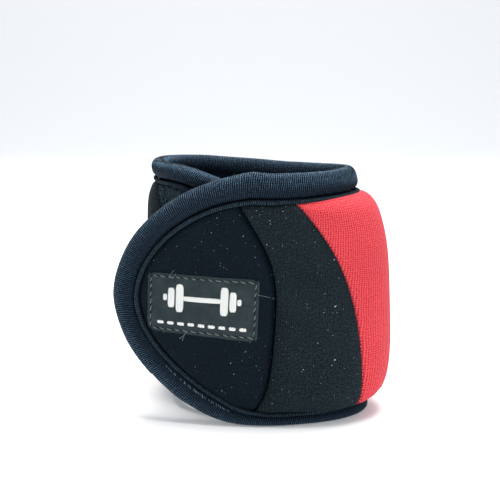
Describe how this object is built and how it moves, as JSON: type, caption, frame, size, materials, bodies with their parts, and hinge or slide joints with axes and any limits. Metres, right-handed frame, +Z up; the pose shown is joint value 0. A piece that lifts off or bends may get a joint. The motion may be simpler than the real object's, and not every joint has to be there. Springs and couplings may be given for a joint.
{
  "type": "ankle cuff weight",
  "caption": "Soft padded ankle cuff weight: a knit-covered strap of iron-shot bags rolled into a cuff, its rounded outer end gripping the inner end with hook and loop.",
  "frame": {"origin": "on the surface that the cuff stands on, under the middle of its bounding box", "axes": "+Z up along the ankle; -Y towards the rounded outer end and its label; +X towards the side where the strap turns to the back"},
  "size_m": [0.1142, 0.0982, 0.102],
  "materials": {
    "black_knit": "fine knit over foam",
    "charcoal_knit": "fine knit over foam",
    "red_knit": "fine ribbed knit over foam",
    "binding_knit": "ribbed elastic binding",
    "piping_knit": "knit cord",
    "lining_knit": "smooth knit",
    "loop_fabric": "brushed loop pile",
    "pocket_fabric": "plain weave",
    "shot_bag": "film bag filled with iron shot",
    "hook_nylon": "moulded hooks",
    "label_satin": "satin weave"
  },
  "bodies": {
    "underlap": {"loop_panel": "loop_fabric", "underlap_lining": "lining_knit", "underlap_binding": "binding_knit", "underlap_piping": "piping_knit"},
    "left": {"left_cover": "charcoal_knit", "left_lining": "lining_knit", "left_top_binding": "binding_knit", "left_top_piping": "piping_knit", "left_bottom_binding": "binding_knit", "left_bottom_piping": "piping_knit"},
    "back": {"back_cover": "red_knit", "back_lining": "lining_knit", "back_top_binding": "binding_knit", "back_top_piping": "piping_knit", "back_bottom_binding": "binding_knit", "back_bottom_piping": "piping_knit", "back_pocket_sheet": "pocket_fabric", "shot_bag_1": "shot_bag", "shot_bag_2": "shot_bag", "shot_bag_3": "shot_bag", "shot_bag_4": "shot_bag"},
    "side": {"side_cover": "red_knit", "side_lining": "lining_knit", "side_top_binding": "binding_knit", "side_top_piping": "piping_knit", "side_bottom_binding": "binding_knit", "side_bottom_piping": "piping_knit", "side_pocket_sheet": "pocket_fabric", "shot_bag_5": "shot_bag"},
    "front": {"front_cover": "charcoal_knit", "front_lining": "lining_knit", "front_top_binding": "binding_knit", "front_top_piping": "piping_knit", "front_bottom_binding": "binding_knit", "front_bottom_piping": "piping_knit", "front_pocket_sheet": "pocket_fabric", "shot_bag_6": "shot_bag"},
    "tab": {"tab_cover": "black_knit", "tab_lining": "lining_knit", "tab_binding": "binding_knit", "tab_piping": "piping_knit", "hook_tape": "hook_nylon", "woven_label": "label_satin"}
  },
  "joints": [
    {"name": "side_flex", "type": "hinge", "parent": "back", "child": "side", "pos_m": [0.05447, 0.00114, 0.051], "axis": [0, 0, 1], "range_deg": [0, 75]},
    {"name": "front_flex", "type": "hinge", "parent": "side", "child": "front", "pos_m": [0.0439, -0.04396, 0.051], "axis": [0, 0, 1], "range_deg": [0, 68]},
    {"name": "tab_peel", "type": "hinge", "parent": "front", "child": "tab", "pos_m": [0.00914, -0.0429, 0.051], "axis": [0, 0, 1], "range_deg": [0, 80]},
    {"name": "left_flex", "type": "hinge", "parent": "back", "child": "left", "pos_m": [-0.05394, 0.01834, 0.051], "axis": [0, 0, -1], "range_deg": [0, 34]},
    {"name": "underlap_flex", "type": "hinge", "parent": "left", "child": "underlap", "pos_m": [-0.04265, -0.01036, 0.051], "axis": [0, 0, -1], "range_deg": [0, 27]}
  ],
  "couplings": [
    {"joint": "front_flex", "follows": "side_flex", "ratio": 0.9},
    {"joint": "left_flex", "follows": "side_flex", "ratio": 0.45},
    {"joint": "underlap_flex", "follows": "side_flex", "ratio": 0.35}
  ]
}
